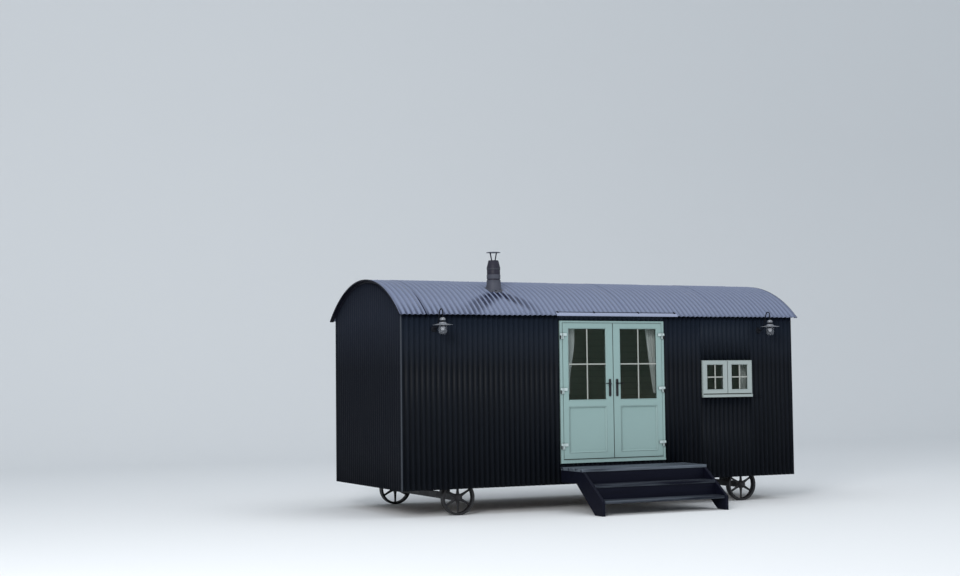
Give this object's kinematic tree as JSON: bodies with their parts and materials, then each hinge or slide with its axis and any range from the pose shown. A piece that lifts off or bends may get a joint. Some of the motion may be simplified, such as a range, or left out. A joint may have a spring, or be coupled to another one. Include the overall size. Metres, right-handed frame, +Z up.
{
  "type": "shepherds hut",
  "caption": "Arched-roof shepherds hut on cast wheels, clad in corrugated steel, with glazed double doors above timber steps, a side window, wall lamps and a flue.",
  "frame": {"origin": "on the ground, under the middle of the outline of the hut with its steps", "axes": "+X along the front wall to the right as seen from outside, +Y from the steps into the hut, +Z up"},
  "size_m": [6.308, 3.645, 3.5311],
  "materials": {
    "dark_steel": "weathered dark blue-black paint on corrugated steel",
    "roof_steel": "grey painted corrugated steel",
    "roof_trim": "grey painted folded strip",
    "verge_steel": "dark painted folded steel",
    "corner_steel": "pale grey folded steel",
    "wall_timber": "lined timber framing",
    "ceiling_timber": "boarded lining",
    "floor_timber": "oiled boards",
    "sage_paint": "satin sage green",
    "pane": "clear double glazing",
    "globe": "clear glass",
    "lamp_metal": "dark satin enamel",
    "flue_black": "black stove paint",
    "flue_grey": "dull grey flashing",
    "step_timber": "black painted timber with worn edges",
    "chassis_steel": "black painted steel",
    "wheel_iron": "black painted cast iron",
    "hardware_black": "black satin",
    "hinge_paint": "pale sage enamel",
    "curtain_cloth": "pale thin cloth",
    "rod_metal": "black satin"
  },
  "bodies": {
    "hut": {"chassis": "chassis_steel", "wheels_left": "wheel_iron", "wheels_right": "wheel_iron", "floor_deck": "floor_timber", "front_wall_left": "wall_timber", "front_wall_over_door": "wall_timber", "front_wall_right": "wall_timber", "rear_wall": "wall_timber", "left_end_wall": "wall_timber", "right_end_wall": "wall_timber", "front_cladding_left": "dark_steel", "front_cladding_at_door": "dark_steel", "front_cladding_right": "dark_steel", "rear_cladding": "dark_steel", "left_end_cladding": "dark_steel", "right_end_cladding": "dark_steel", "roof_deck": "ceiling_timber", "roof_sheet": "roof_steel", "verge_trims": "verge_steel", "corner_trims": "corner_steel", "eave_flashing": "roof_trim", "door_frame": "sage_paint", "door_threshold": "sage_paint", "hinge_brackets": "hinge_paint", "window_frame": "sage_paint", "window_casements": "sage_paint", "window_glass": "pane", "window_sill": "sage_paint", "lamp_brackets": "lamp_metal", "lamp_shades": "lamp_metal", "lamp_globes": "globe", "flue_flashing": "flue_grey", "flue_pipe": "flue_black", "flue_cowl": "flue_black", "step_stringers": "step_timber", "step_landing": "step_timber", "step_tread_middle": "step_timber", "step_tread_lower": "step_timber", "step_risers": "step_timber", "door_curtains": "curtain_cloth", "window_curtain": "curtain_cloth", "curtain_rods": "rod_metal"},
    "left_door": {"left_door_leaf": "sage_paint", "left_door_glass": "pane", "left_door_hinges": "hinge_paint", "left_door_plate": "hardware_black"},
    "left_lever": {"left_door_lever": "hardware_black"},
    "right_door": {"right_door_leaf": "sage_paint", "right_door_glass": "pane", "right_door_hinges": "hinge_paint", "right_door_plate": "hardware_black"},
    "right_lever": {"right_door_lever": "hardware_black"}
  },
  "joints": [
    {"name": "left_door_swing", "type": "hinge", "parent": "hut", "child": "left_door", "pos_m": [-0.725, -0.7465, 1.6], "axis": [0, 0, -1], "range_deg": [0, 100]},
    {"name": "left_lever_turn", "type": "hinge", "parent": "left_door", "child": "left_lever", "pos_m": [0.007, -0.7405, 1.71], "axis": [0, -1, 0], "range_deg": [0, 35], "stiffness_Nm_per_rad": 0.6, "springref_deg": -34.38},
    {"name": "right_door_swing", "type": "hinge", "parent": "hut", "child": "right_door", "pos_m": [0.853, -0.7465, 1.6], "axis": [0, 0, 1], "range_deg": [0, 100]},
    {"name": "right_lever_turn", "type": "hinge", "parent": "right_door", "child": "right_lever", "pos_m": [0.121, -0.7405, 1.71], "axis": [0, 1, 0], "range_deg": [0, 35], "stiffness_Nm_per_rad": 0.6, "springref_deg": -34.38}
  ]
}
